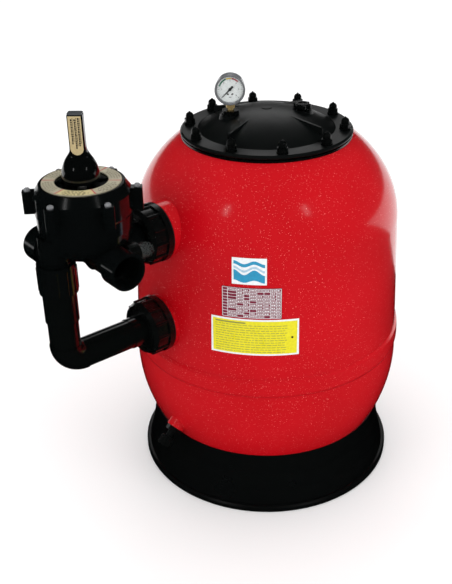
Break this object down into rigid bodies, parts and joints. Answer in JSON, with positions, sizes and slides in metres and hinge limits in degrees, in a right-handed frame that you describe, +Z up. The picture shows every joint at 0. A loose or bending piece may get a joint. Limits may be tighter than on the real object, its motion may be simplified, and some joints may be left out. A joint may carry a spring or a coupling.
{
  "type": "sand filter tank",
  "caption": "Round pressure tank on a base skirt with bolted lid, pressure gauge, drain and a side-mounted six-way valve piped to two side ports.",
  "frame": {"origin": "on the tank axis, at floor level", "axes": "+Z up along the tank axis, the valve on the -X side, waste port towards -Y, pump and return ports towards +Y"},
  "size_m": [0.715, 0.502, 0.768],
  "materials": {
    "base_black": "satin black moulded plastic",
    "tank_red": "glossy deep red gelcoat with fine glitter",
    "plastic_black": "satin black moulded plastic",
    "lid_black": "satin black moulded plastic",
    "rubber_black": "soft black rubber",
    "steel": "bright steel",
    "brass": "machined brass",
    "chrome": "polished steel",
    "dial_white": "white printed dial",
    "needle_black": "black painted needle",
    "clear": "clear window",
    "pipe_black": "glossy black pipe",
    "valve_black": "glossy black moulded plastic",
    "handle_black": "glossy black moulded plastic",
    "index_gold": "printed gold index ring",
    "plastic_white": "off-white moulded plastic",
    "label_gold": "printed gold label",
    "label_yellow": "printed yellow label",
    "label_print": "white lines printed on red",
    "label_white": "printed white badge"
  },
  "bodies": {
    "tank": {"base_skirt": "base_black", "tank_lower_shell": "tank_red", "tank_upper_shell": "tank_red", "belt_band": "tank_red", "collar_ring": "plastic_black", "lid_gasket": "rubber_black", "lid": "lid_black", "lid_studs": "steel", "lid_washers": "plastic_black", "lid_cap_nuts": "plastic_black", "gauge_bushing": "plastic_black", "gauge_stem": "brass", "gauge_case": "chrome", "gauge_tube": "brass", "gauge_dial": "dial_white", "gauge_lens": "clear", "gauge_bezel": "chrome", "vent_body": "plastic_black", "vent_seal": "rubber_black", "upper_bulkhead": "plastic_black", "bulkhead_nuts": "plastic_black", "bulkhead_gaskets": "rubber_black", "union_seals": "rubber_black", "lower_bulkhead": "plastic_black", "lower_elbow_pipe": "pipe_black", "pipe_coupling": "pipe_black", "valve_union_seal": "rubber_black", "valve_body": "valve_black", "valve_cover": "valve_black", "valve_cover_seal": "rubber_black", "valve_screws": "steel", "valve_index_plate": "index_gold", "valve_port_plate": "plastic_white", "spider_gasket": "rubber_black", "stem_seal": "rubber_black", "sight_glass": "clear", "sight_glass_ring": "plastic_black", "drain_body": "plastic_black", "drain_seal": "rubber_black", "inlet_riser": "plastic_white", "diffuser": "plastic_white", "outlet_pipe": "plastic_white", "collector_hub": "plastic_white", "collector_laterals": "plastic_white", "label_notice": "label_yellow", "label_table": "label_print", "label_badge": "label_white"},
    "press_carrier": {"spring_washer": "steel", "valve_spring": "steel"},
    "handle": {"valve_handle": "handle_black", "valve_stem": "plastic_white", "valve_rotor": "plastic_white", "handle_pin": "steel", "handle_label": "label_gold"},
    "needle": {"gauge_needle": "needle_black"},
    "vent_plug": {"vent_knob": "plastic_black"},
    "drain_plug": {"drain_cap": "plastic_black"},
    "upper_nut": {"upper_union_nut": "plastic_black"},
    "lower_nut": {"lower_union_nut": "plastic_black"},
    "valve_nut": {"valve_union_nut": "valve_black"}
  },
  "joints": [
    {"name": "handle_press", "type": "slide", "parent": "tank", "child": "press_carrier", "axis": [0, 0, -1], "range_m": [0, 0.008], "stiffness_N_per_m": 1500, "springref_m": -0.012, "deforming": ["valve_spring"]},
    {"name": "handle_turn", "type": "hinge", "parent": "press_carrier", "child": "handle", "pos_m": [-0.373, 0, 0.66], "axis": [0, 0, 1], "continuous": true},
    {"name": "needle_turn", "type": "hinge", "parent": "tank", "child": "needle", "pos_m": [-0.05686, 0.02886, 0.7345], "axis": [0.6561, 0.7547, 0], "range_deg": [0, 270]},
    {"name": "vent_turn", "type": "hinge", "parent": "tank", "child": "vent_plug", "pos_m": [0.05456, -0.0315, 0.697], "axis": [0, 0, 1], "range_deg": [0, 360]},
    {"name": "drain_turn", "type": "hinge", "parent": "tank", "child": "drain_plug", "pos_m": [-0.23138, -0.01618, 0.142], "axis": [-0.7413, -0.0518, -0.6691], "range_deg": [0, 360]},
    {"name": "upper_nut_turn", "type": "hinge", "parent": "tank", "child": "upper_nut", "pos_m": [-0.26, 0, 0.535], "axis": [-1, 0, 0], "range_deg": [0, 360]},
    {"name": "lower_nut_turn", "type": "hinge", "parent": "tank", "child": "lower_nut", "pos_m": [-0.27, 0, 0.362], "axis": [-1, 0, 0], "range_deg": [0, 360]},
    {"name": "valve_nut_turn", "type": "hinge", "parent": "tank", "child": "valve_nut", "pos_m": [-0.432, 0, 0.51], "axis": [0, 0, 1], "range_deg": [0, 360]}
  ]
}
